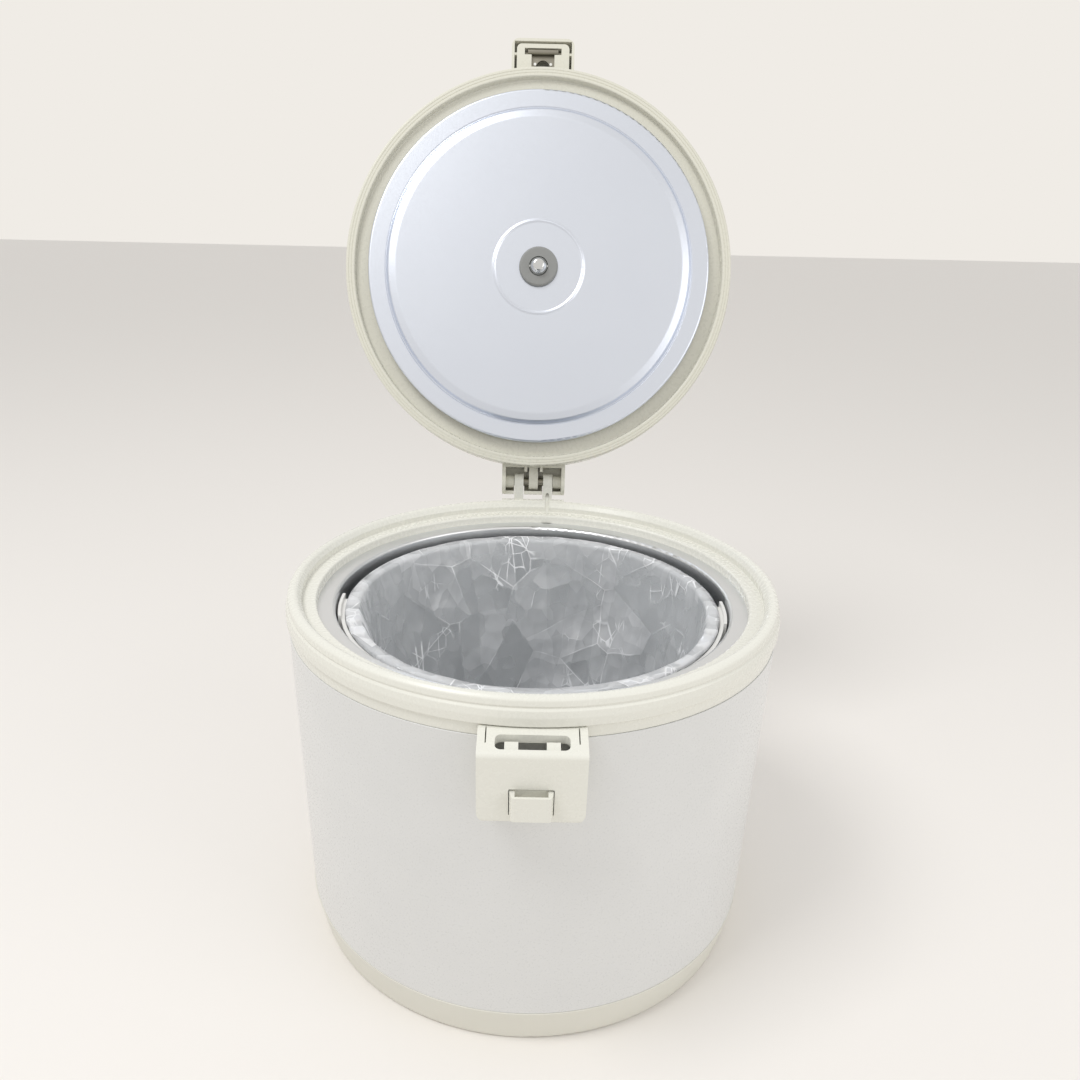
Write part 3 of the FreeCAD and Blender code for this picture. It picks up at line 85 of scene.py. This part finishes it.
def grain(tree, size_mm, detail=3.0, stretch=(1.0, 1.0, 1.0)):
    """Noise on Object coordinates whose blotches are about size_mm across."""
    coords = add(tree, "ShaderNodeTexCoord")
    placed = add(tree, "ShaderNodeMapping", {"Scale": stretch}, {"Vector": coords.outputs["Object"]})
    return add(tree, "ShaderNodeTexNoise", {"Scale": 1.0 / (size_mm * MM), "Detail": detail},
               {"Vector": placed.outputs["Vector"]})


def blend_colour(tree, factor, first, second):
    mixed = add(tree, "ShaderNodeMix", data_type="RGBA")
    tree.links.new(factor, mixed.inputs[0])
    mixed.inputs[6].default_value = first
    mixed.inputs[7].default_value = second
    return mixed.outputs[2]


def surface(name, colour, shade, roughness, grain_mm, depth_mm, metallic=0.0, spread=0.06, cloud_mm=45.0,
            coat=0.0, stretch=(1.0, 1.0, 1.0), specular=0.5):
    """Principled finish: a slow drift between two near colours, fine grain in relief and in roughness."""
    material, tree = new_material(name)
    cloud = grain(tree, cloud_mm, 2.0)
    fine = grain(tree, grain_mm, 1.0, stretch)
    rough = add(tree, "ShaderNodeMapRange", {"From Min": 0.3, "From Max": 0.7, "To Min": roughness - spread,
                                             "To Max": roughness + spread}, {"Value": fine.outputs[0]})
    relief = add(tree, "ShaderNodeBump", {"Strength": 0.3, "Distance": depth_mm * MM},
                 {"Height": fine.outputs[0]})
    shader = add(tree, "ShaderNodeBsdfPrincipled",
                 {"Metallic": metallic, "Coat Weight": coat, "Coat Roughness": 0.08,
                  "Specular IOR Level": specular},
                 {"Base Color": blend_colour(tree, cloud.outputs[0], linear(colour), linear(shade)),
                  "Roughness": rough.outputs[0], "Normal": relief.outputs[0]})
    add(tree, "ShaderNodeOutputMaterial", links={"Surface": shader.outputs[0]})
    return material


def coat_nodes(material, *names):
    for name in names:
        mesh = NODES[name].data
        mesh.materials.clear()
        mesh.materials.append(material)


# ---- sizes and colours that a user would change ------------------------------------------------------
class FinishSettings(bpy.types.PropertyGroup):
    shell: bpy.props.StringProperty(name="Shell paint", description="Colour of the painted steel shell",
                                    default="#DEDEDC")
    ring: bpy.props.StringProperty(name="Ring plastic", description="Colour of the ring, latch and base",
                                   default="#E6E5DC")
    lid: bpy.props.StringProperty(name="Lid plastic", description="Colour of the lid mouldings",
                                  default="#DAD8CB")
    bucket: bpy.props.StringProperty(name="Bucket plastic", description="Colour of the bucket",
                                     default="#BFC2C4")
    # The inner plate's default colour is the metal's bright own colour with a cool blue cast that is a painted
    # reflection of a bright window.
    plate: bpy.props.StringProperty(name="Inner lid metal", description="Colour of the aluminium plate",
                                    default="#DDE3EE")


class FilmSettings(bpy.types.PropertyGroup):
    around: bpy.props.IntProperty(name="Points around", description="Grid points round the bag",
                                  default=560, min=96, max=640)
    down: bpy.props.IntProperty(name="Points down", description="Grid points from hem to floor",
                                default=150, min=40, max=155)
    depth: bpy.props.FloatProperty(name="Fold depth", description="How far the film stands off the bucket",
                                   default=0.017, min=0.0, max=0.03, unit="LENGTH", subtype="DISTANCE")
    seed: bpy.props.IntProperty(name="Seed", description="Which set of creases is drawn", default=7)


class StudioSettings(bpy.types.PropertyGroup):
    floor: bpy.props.StringProperty(name="Floor", description="Colour of the floor", default="#EFEBE6")
    wall: bpy.props.StringProperty(name="Background", description="Colour behind the object",
                                   default="#F0ECE6")
    key: bpy.props.FloatProperty(name="Key lamp", description="Power of the large lamp", default=17.0,
                                 unit="POWER")
    fill: bpy.props.FloatProperty(name="Fill lamp", description="Power of the side lamp", default=6.0,
                                  unit="POWER")
    sky: bpy.props.FloatProperty(name="Sky", description="Strength of the even light", default=0.74)


# ---- finishes ------------------------------------------------------------------------------------------
class CompactorBody(bpy.types.Operator):
    """Paint the shell and give the ring, base and latch their moulded finish"""
    bl_idname = "compactor.body"
    bl_label = "Body"

    def execute(self, context):
        look = context.scene.compactor_finish
        # Stoved enamel on steel: an even satin skin with a faint orange peel, here about 1.2 mm.
        enamel = surface("stoved_enamel", look.shell, "#D9D9D7", 0.30, 1.2, 0.006, coat=0.25, spread=0.04)
        # Injection-moulded ABS from a polished tool: glossy, with slow waves 3 mm long.
        moulded = surface("moulded_abs", look.ring, "#E4E3D9", 0.27, 3.0, 0.002, spread=0.02)
        # The same plastic from a lightly textured tool: matte grain 0.8 mm across on the base.
        grained = surface("textured_abs", "#DFDDD3", "#DAD8CD", 0.42, 0.8, 0.012)
        coat_nodes(enamel, "outer_shell")
        coat_nodes(moulded, "shoulder_ring", "latch_housing", "release_lever")
        coat_nodes(grained, "base_pan", "bottom_cover")
        return {"FINISHED"}


class CompactorLid(bpy.types.Operator):
    """Finish the lid mouldings, the pressed inner plate, the stud and the control panel"""
    bl_idname = "compactor.lid"
    bl_label = "Lid"

    def execute(self, context):
        look = context.scene.compactor_finish
        # Moulded ABS of the lid: a little yellower and glossy.
        moulded = surface("lid_abs", look.lid, "#D8D6C8", 0.28, 3.0, 0.002, spread=0.02)
        # Satin anodised aluminium: bright, with a grain of 0.7 mm and a soft mirror of the room; its cool blue cast
        # is a painted reflection of a bright window.
        plate = surface("anodised_aluminium", look.plate, "#D8DEEA", 0.34, 0.7, 0.004, metallic=1.0,
                        spread=0.05, cloud_mm=90.0)
        # Silicone rubber: mid grey and dull.
        silicone = surface("silicone_rubber", "#8F908E", "#868785", 0.55, 1.0, 0.02)
        # Nickel-plated brass: a small sharp mirror.
        nickel = surface("nickel_plate", "#D9DBDC", "#CFD1D2", 0.10, 2.0, 0.002, metallic=1.0, spread=0.03)
        # Cold-rolled steel strip: dull metal with fine lines along it.
        strip = surface("steel_strip", "#9A978C", "#8B887E", 0.38, 0.5, 0.01, metallic=1.0,
                        stretch=(0.2, 1.0, 1.0))
        white = surface("white_nylon", "#F1F0EC", "#ECEBE6", 0.4, 1.5, 0.01)
        dark = surface("black_abs", "#23221F", "#1D1C1A", 0.5, 1.0, 0.02)
        lamp = surface("green_acrylic", "#4E9A63", "#46905A", 0.15, 2.0, 0.002, coat=0.5)
        button = surface("grey_abs", "#9B9EA0", "#939698", 0.34, 0.9, 0.01)
        board = surface("board_laminate", "#2E5E3C", "#285435", 0.45, 0.8, 0.01)
        coat_nodes(moulded, "lid_shell", "lid_frame", "catch_housing", "control_panel")
        coat_nodes(plate, "inner_lid")
        coat_nodes(silicone, "stud_grommet", "lid_gasket")
        coat_nodes(nickel, "suction_stud")
        coat_nodes(strip, "catch_bar", "hinge_tube", "stud_nut", "lid_screws")
        coat_nodes(white, "catch_rivets")
        coat_nodes(dark, "lid_duct")
        coat_nodes(lamp, "status_lamp")
        coat_nodes(button, "start_button")
        coat_nodes(board, "panel_board")
        return {"FINISHED"}


class CompactorBucket(bpy.types.Operator):
    """Finish the chamber, the bucket, its bail and the grips"""
    bl_idname = "compactor.bucket"
    bl_label = "Bucket"

    def execute(self, context):
        look = context.scene.compactor_finish
        # Polypropylene bucket: soft grey, waxy sheen, fine mould grain of 1 mm.
        waxy = surface("polypropylene", look.bucket, "#B9BCBE", 0.40, 1.0, 0.012)
        # Spun aluminium: circles of tool marks drawn as grain drawn out round the pot.
        spun = surface("spun_aluminium", "#E6E8EA", "#DFE1E4", 0.36, 0.8, 0.005, metallic=1.0,
                       stretch=(1.0, 1.0, 6.0))
        white = surface("white_polypropylene", "#ECEBE8", "#E6E5E1", 0.36, 1.2, 0.01)
        coat_nodes(waxy, "bucket")
        coat_nodes(spun, "vacuum_chamber")
        coat_nodes(white, "bail", "bail_grips")
        return {"FINISHED"}


class CompactorBlower(bpy.types.Operator):
    """Finish the blower, ducts, electrics and fasteners inside the base"""
    bl_idname = "compactor.blower"
    bl_label = "Blower and electrics"

    def execute(self, context):
        black = surface("black_polyamide", "#252523", "#1F1F1D", 0.5, 0.9, 0.02)
        steel = surface("bright_steel", "#A7A59E", "#9B9992", 0.30, 0.6, 0.006, metallic=1.0)
        laminated = surface("laminated_steel", "#76736C", "#6B6862", 0.45, 0.5, 0.03, metallic=1.0,
                            stretch=(0.1, 0.1, 1.0))
        copper = surface("enamelled_copper", "#A9643A", "#995631", 0.3, 0.5, 0.05, metallic=1.0,
                         stretch=(0.1, 1.0, 1.0))
        rubber = surface("moulded_rubber", "#2B2A29", "#232221", 0.7, 1.0, 0.03)
        hose = surface("silicone_hose", "#9A9B99", "#919290", 0.5, 1.2, 0.02)
        foam = surface("filter_foam", "#4A4946", "#3B3A38", 0.95, 1.8, 0.5)
        laminate = surface("circuit_laminate", "#2E5E3C", "#285435", 0.45, 0.8, 0.01)
        vane = surface("grey_polyamide", "#8A8D8F", "#828587", 0.42, 0.9, 0.01)
        zinc = surface("zinc_plate", "#B4B4AE", "#A8A8A1", 0.32, 0.7, 0.006, metallic=1.0)
        coat_nodes(black, "motor_case", "fan_case", "fan_cover", "inlet_duct", "outlet_duct", "cord_gland")
        coat_nodes(steel, "motor_bearings", "motor_shaft", "latch_pin", "latch_spring")
        coat_nodes(laminated, "motor_stator", "motor_rotor", "transformer_core")
        coat_nodes(copper, "transformer_coil")
        coat_nodes(rubber, "motor_mounts", "foot_pads")
        coat_nodes(hose, "suction_hose")
        coat_nodes(foam, "exhaust_filter")
        coat_nodes(laminate, "control_board")
        coat_nodes(vane, "impeller")
        coat_nodes(zinc, "cover_screws", "flange_screws", "latch_screws")
        return {"FINISHED"}


# ---- bag -----------------------------------------------------------------------------------------------
def tent_waves(points, waves, rng, shortest, longest):
    """Crumpled relief from 0 to 1: the mean of triangle waves along random directions, so that straight
    creases cross as they do in stiff film. Each wave is 1 - |2 frac(p.d / length + phase) - 1|."""
    total = np.zeros(len(points))
    weight = 0.0
    for _ in range(waves):
        direction = rng.normal(size=3) * (1.0, 1.0, 0.6)
        direction /= np.linalg.norm(direction)
        length = rng.uniform(shortest, longest)
        turn = np.mod(points @ direction / length + rng.uniform(), 1.0)
        total += (1.0 - np.abs(2.0 * turn - 1.0)) * length
        weight += length
    return total / weight


def film_material():
    """Thin polythene: clear panels of uneven haze, with painted highlights as white lines along the creases between
    them, small painted glints and long painted streaks, and a painted sheen that whitens the film at grazing
    angles.
    """
    material, tree = new_material("polythene_film")
    coords = add(tree, "ShaderNodeTexCoord")
    warp = add(tree, "ShaderNodeTexNoise", {"Scale": 20.0, "Detail": 2.0}, {"Vector": coords.outputs["Object"]})
    bent = add(tree, "ShaderNodeVectorMath", operation="SCALE", values={"Scale": 0.004},
               links={0: warp.outputs["Color"]})
    shifted = add(tree, "ShaderNodeVectorMath", operation="ADD",
                  links={0: coords.outputs["Object"], 1: bent.outputs[0]})

    def panels(size_mm, haze, line_mm, slant=0.0, length=1.0):
        """Cells of film size_mm across and length times as long: one haze each, a mask on their borders."""
        scale = 1.0 / (size_mm * MM)
        placed = add(tree, "ShaderNodeMapping", {"Rotation": (0.0, slant, slant), "Scale": (1, 1, 1 / length)},
                     {"Vector": shifted.outputs[0]}, vector_type="TEXTURE" if length == 1 else "POINT")
        cell = add(tree, "ShaderNodeTexVoronoi", {"Scale": scale}, {"Vector": placed.outputs[0]})
        border = add(tree, "ShaderNodeTexVoronoi", {"Scale": scale}, {"Vector": placed.outputs[0]},
                     feature="DISTANCE_TO_EDGE")
        tone = add(tree, "ShaderNodeSeparateColor", links={0: cell.outputs["Color"]})
        veil = add(tree, "ShaderNodeMapRange", {"From Min": 0.35, "From Max": 1.0, "To Max": haze},
                   {"Value": tone.outputs[0]})
        line = add(tree, "ShaderNodeMapRange", {"From Max": line_mm / size_mm, "To Min": 1.0, "To Max": 0.0},
                   {"Value": border.outputs["Distance"]})
        return veil.outputs[0], line.outputs[0], cell.outputs["Distance"]

    broad_veil, broad_line, broad_height = panels(52.0, 0.36, 0.7, 0.5)
    small_veil, small_line, small_height = panels(15.0, 0.16, 0.5)
    long_veil, long_line, long_height = panels(17.0, 0.12, 0.6, 0.75, 6.0)
    # Painted highlights: in patches, the white film is made nearly opaque along cell borders, as small glints,
    # white crease lines and long streaks that show whatever the lamps do.
    patch = add(tree, "ShaderNodeTexNoise", {"Scale": 26.0, "Detail": 3.0}, {"Vector": coords.outputs["Object"]})
    seldom = add(tree, "ShaderNodeMapRange", {"From Min": 0.56, "From Max": 0.64}, {"Value": patch.outputs[0]})
    often = add(tree, "ShaderNodeMapRange", {"From Min": 0.44, "From Max": 0.56}, {"Value": patch.outputs[0]})
    painted_glint = add(tree, "ShaderNodeMath", operation="MULTIPLY", links={0: small_line, 1: seldom.outputs[0]})
    painted_crease_highlight = add(tree, "ShaderNodeMath", operation="MULTIPLY", links={0: broad_line, 1: often.outputs[0]})
    # Film bunched round the bucket's rim is hazier than the film on the wall.
    split = add(tree, "ShaderNodeSeparateXYZ", links={0: coords.outputs["Object"]})
    bunched = add(tree, "ShaderNodeMapRange", {"From Min": 0.228, "From Max": 0.246, "To Min": 0.07,
                                               "To Max": 0.26}, {"Value": split.outputs[2]})
    # Painted sheen: the film is made whiter towards grazing angles.
    edge = add(tree, "ShaderNodeLayerWeight", {"Blend": 0.25})
    painted_sheen = add(tree, "ShaderNodeMapRange", {"To Max": 0.35}, {"Value": edge.outputs["Facing"]})
    painted_streak = add(tree, "ShaderNodeMath", operation="MULTIPLY", links={0: long_line, 1: seldom.outputs[0]})
    layers = [broad_veil, small_veil, long_veil, painted_sheen.outputs[0], painted_crease_highlight.outputs[0], painted_glint.outputs[0],
              painted_streak.outputs[0]]
    total = bunched.outputs[0]
    for layer, weight in zip(layers, (1.0, 1.0, 1.0, 1.0, 0.6, 1.0, 1.0)):
        total = add(tree, "ShaderNodeMath", operation="MULTIPLY_ADD", values={1: weight},
                    links={0: layer, 2: total}).outputs[0]
    held = add(tree, "ShaderNodeClamp", {"Max": 0.96}, {"Value": total})
    heights = add(tree, "ShaderNodeMath", operation="MULTIPLY_ADD", values={1: 0.35},
                  links={0: small_height, 2: broad_height})
    ridged = add(tree, "ShaderNodeMath", operation="MULTIPLY_ADD", values={1: 0.6},
                 links={0: long_height, 2: heights.outputs[0]})
    relief = add(tree, "ShaderNodeBump", {"Strength": 1.0, "Distance": 0.006}, {"Height": ridged.outputs[0]})
    shader = add(tree, "ShaderNodeBsdfPrincipled",
                 {"Base Color": linear("#F0F1F3"), "Roughness": 0.09, "IOR": 1.5, "Specular IOR Level": 0.9},
                 {"Alpha": held.outputs[0], "Normal": relief.outputs[0]})
    add(tree, "ShaderNodeOutputMaterial", links={"Surface": shader.outputs[0]})
    return material


RIM_WIDTH = 5.0 * MM     # rolled rim of the bucket, which the film lies over
WALL_TAPER = 25.0 * MM   # how much narrower the film is at the floor than at the rim


def film_grid(settings):
    """Bag as one grid: rings of points from the hem, over the bucket's rim, down its wall and in over its
    floor to one closing point. Radius and height run along that path, and the film stands off the wall by
    the tent-wave relief times the depth setting, which fades to nothing at the rim and the centre."""
    low, high = (np.array(corner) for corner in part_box("bag"))
    rim = high[0]
    lip = rim - RIM_WIDTH
    foot = rim - WALL_TAPER
    top, floor = high[2], low[2]
    around, down = settings.around, settings.down
    path_radius = np.array([rim, rim, rim - 1.5 * MM, lip - 2.2 * MM, lip - 3.0 * MM, foot + 1 * MM,
                            foot - 7 * MM, 0])
    path_height = np.array([top - 2.4 * MM, top - 0.5 * MM, top, top, top - 2 * MM, floor + 12 * MM, floor + 1 * MM,
                            floor + 1 * MM])
    steps = np.hypot(np.diff(path_radius), np.diff(path_height))
    run = np.concatenate([[0], np.cumsum(steps)])
    share = run / run[-1]
    place = np.linspace(0, 1, down + 1)[:-1]
    radius = np.interp(place, share, path_radius)
    height = np.interp(place, share, path_height)
    angle = np.linspace(0, 2 * math.pi, around, endpoint=False)
    turn, ring = np.meshgrid(angle, np.arange(down))
    r, z = radius[ring].ravel(), height[ring].ravel()
    t = turn.ravel()
    points = np.stack([r * np.cos(t), r * np.sin(t), z], axis=1)
    rng = np.random.default_rng(settings.seed)
    broad = tent_waves(points, 9, rng, 60 * MM, 150 * MM)
    small = tent_waves(points, 12, rng, 14 * MM, 45 * MM)
    relief = np.clip(1.9 * (broad - 0.32), 0, 1) + 0.35 * (small - 0.5)
    depth_below = np.clip((top - z) / (40 * MM), 0, 1)
    centre = np.clip(r / (55 * MM), 0, 1)
    wall = (place[ring].ravel() > share[3]).astype(float)
    inward = settings.depth * np.clip(relief, 0, 1.3) * wall * (0.12 + 0.88 * depth_below) * centre
    rise = np.where(z < floor + 14 * MM, 0.7 * inward, 0.15 * inward)
    r = r - inward
    crown = np.clip(1 - np.abs(place[ring].ravel() - share[2]) / (share[4] - share[0]), 0, 1)
    z = z + rise + 2.6 * MM * crown * small
    return np.stack([r * np.cos(t), r * np.sin(t), z], axis=1), around, down


def grid_mesh(name, points, around, down):
    """Quads between neighbouring rings, and a fan of triangles that closes the last ring."""
    centre = points[-around:].mean(axis=0)
    corners = np.vstack([points, centre])
    ring, step = np.meshgrid(np.arange(down - 1), np.arange(around), indexing="ij")
    a = ring * around + step
    b = ring * around + (step + 1) % around
    quads = np.stack([a, b, b + around, a + around], axis=-1).reshape(-1, 4)
    last = (down - 1) * around + np.arange(around)
    following = (down - 1) * around + (np.arange(around) + 1) % around
    fan = np.stack([last, following, np.full(around, len(points))], axis=1)
    mesh = bpy.data.meshes.new(name)
    mesh.from_pydata(corners.tolist(), [], quads.tolist() + fan.tolist())
    mesh.polygons.foreach_set("use_smooth", np.ones(len(mesh.polygons), dtype=bool))
    mesh.update()
    return mesh


class CompactorBag(bpy.types.Operator):
    """Hang the crinkled clear bag in the bucket"""
    bl_idname = "compactor.bag"
    bl_label = "Bag"

    def execute(self, context):
        points, around, down = film_grid(context.scene.compactor_film)
        mesh = grid_mesh("bag_film", points, around, down)
        bag = bpy.data.objects.new("bag_film", mesh)
        context.scene.collection.objects.link(bag)
        mesh.materials.append(film_material())
        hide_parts("bag")
        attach(bag, "bucket")
        return {"FINISHED"}


# ---- stage ----------------------------------------------------------------------------------------------
def area_lamp(name, place, target, size, power):
    lamp = bpy.data.lights.new(name, "AREA")
    lamp.shape = "SQUARE"
    lamp.size = size
    lamp.energy = power
    holder = bpy.data.objects.new(name, lamp)
    holder.location = place
    holder.rotation_euler = (Vector(target) - Vector(place)).to_track_quat("-Z", "Y").to_euler()
    bpy.context.scene.collection.objects.link(holder)


class CompactorStage(bpy.types.Operator):
    """Lay the floor, hang the lamps and place the camera"""
    bl_idname = "compactor.stage"
    bl_label = "Stage"

    def execute(self, context):
        look = context.scene.compactor_studio
        mesh = bpy.data.meshes.new("floor")
        corners = [(-6, -4, 0), (6, -4, 0), (6, 8, 0), (-6, 8, 0)]
        mesh.from_pydata(corners, [], [(0, 1, 2, 3)])
        floor = bpy.data.objects.new("floor", mesh)
        context.scene.collection.objects.link(floor)
        # Matte painted board: pale, with no pattern.
        mesh.materials.append(surface("painted_board", look.floor, look.floor, 0.6, 2.0, 0.01))
        world = bpy.data.worlds.new("studio")
        context.scene.world = world
        world.use_nodes = True
        tree = world.node_tree
        tree.nodes.clear()
        path = add(tree, "ShaderNodeLightPath")
        even = add(tree, "ShaderNodeBackground", {"Color": (1, 1, 1, 1), "Strength": look.sky})
        seen = add(tree, "ShaderNodeBackground", {"Color": linear(look.wall), "Strength": 1.0})
        glossy = add(tree, "ShaderNodeMath", operation="MAXIMUM",
                     links={0: path.outputs["Is Camera Ray"], 1: path.outputs["Is Glossy Ray"]})
        clear = add(tree, "ShaderNodeMath", operation="MAXIMUM",
                    links={0: glossy.outputs[0], 1: path.outputs["Is Transmission Ray"]})
        mixed = add(tree, "ShaderNodeMixShader",
                    links={0: clear.outputs[0], 1: even.outputs[0], 2: seen.outputs[0]})
        add(tree, "ShaderNodeOutputWorld", links={"Surface": mixed.outputs[0]})
        area_lamp("key", (-0.9, -0.55, 2.1), (0, 0, 0.25), 0.8, look.key)
        area_lamp("fill", (1.5, -0.9, 1.0), (0, 0, 0.25), 1.2, look.fill)
        set_camera()
        context.scene.view_settings.view_transform = "Standard"
        return {"FINISHED"}


CAMERA_PLACE = (-0.0070, -0.5780, 0.5149)
CAMERA_YAW = 0.04
CAMERA_PITCH = 26.22
CAMERA_ROLL = 1.267
CAMERA_LENS = 29.57
CAMERA_SHIFT = (0.016, 0.0773)


def set_camera():
    """Level sight line turned by yaw and pitched down, then rolled about itself."""
    yaw, pitch, roll = (math.radians(a) for a in (CAMERA_YAW, CAMERA_PITCH, CAMERA_ROLL))
    ahead = Vector((math.sin(yaw) * math.cos(pitch), math.cos(yaw) * math.cos(pitch), -math.sin(pitch)))
    right = Vector((math.cos(yaw), -math.sin(yaw), 0))
    up = right.cross(ahead)
    level_right = right.copy()
    right = level_right * math.cos(roll) + up * math.sin(roll)
    up = up * math.cos(roll) - level_right * math.sin(roll)
    lens = bpy.data.cameras.new("camera")
    lens.lens = CAMERA_LENS
    lens.sensor_width = 36.0
    lens.shift_x, lens.shift_y = CAMERA_SHIFT
    lens.clip_start = 0.01
    camera = bpy.data.objects.new("camera", lens)
    turn = Matrix((right, up, -ahead)).transposed().to_4x4()
    camera.matrix_world = Matrix.Translation(CAMERA_PLACE) @ turn
    bpy.context.scene.collection.objects.link(camera)
    bpy.context.scene.camera = camera


# ---- panel and registration -------------------------------------------------------------------------
OPERATORS = (CompactorBody, CompactorLid, CompactorBucket, CompactorBlower, CompactorBag, CompactorStage)
SETTINGS = {"compactor_finish": FinishSettings, "compactor_film": FilmSettings, "compactor_studio": StudioSettings}


class CompactorPanel(bpy.types.Panel):
    """Sizes, colours and pieces of the compactor"""
    bl_idname = "VIEW3D_PT_compactor"
    bl_label = "Trash compactor"
    bl_space_type = "VIEW_3D"
    bl_region_type = "UI"
    bl_category = "Compactor"

    def draw(self, context):
        for name, group in SETTINGS.items():
            column = self.layout.column(align=True)
            for key in group.__annotations__:
                column.prop(getattr(context.scene, name), key)
        for operator in OPERATORS:
            self.layout.operator(operator.bl_idname)


def register():
    for group in SETTINGS.values():
        bpy.utils.register_class(group)
    for operator in OPERATORS:
        bpy.utils.register_class(operator)
    bpy.utils.register_class(CompactorPanel)
    for name, group in SETTINGS.items():
        setattr(bpy.types.Scene, name, bpy.props.PointerProperty(type=group))


def unregister():
    for name in SETTINGS:
        delattr(bpy.types.Scene, name)
    bpy.utils.unregister_class(CompactorPanel)
    for made in reversed(OPERATORS + tuple(SETTINGS.values())):
        bpy.utils.unregister_class(made)


def main():
    register()
    bpy.ops.compactor.body()
    bpy.ops.compactor.lid()
    bpy.ops.compactor.bucket()
    bpy.ops.compactor.blower()
    bpy.ops.compactor.bag()
    bpy.ops.compactor.stage()


if __name__ == "__main__":
    main()
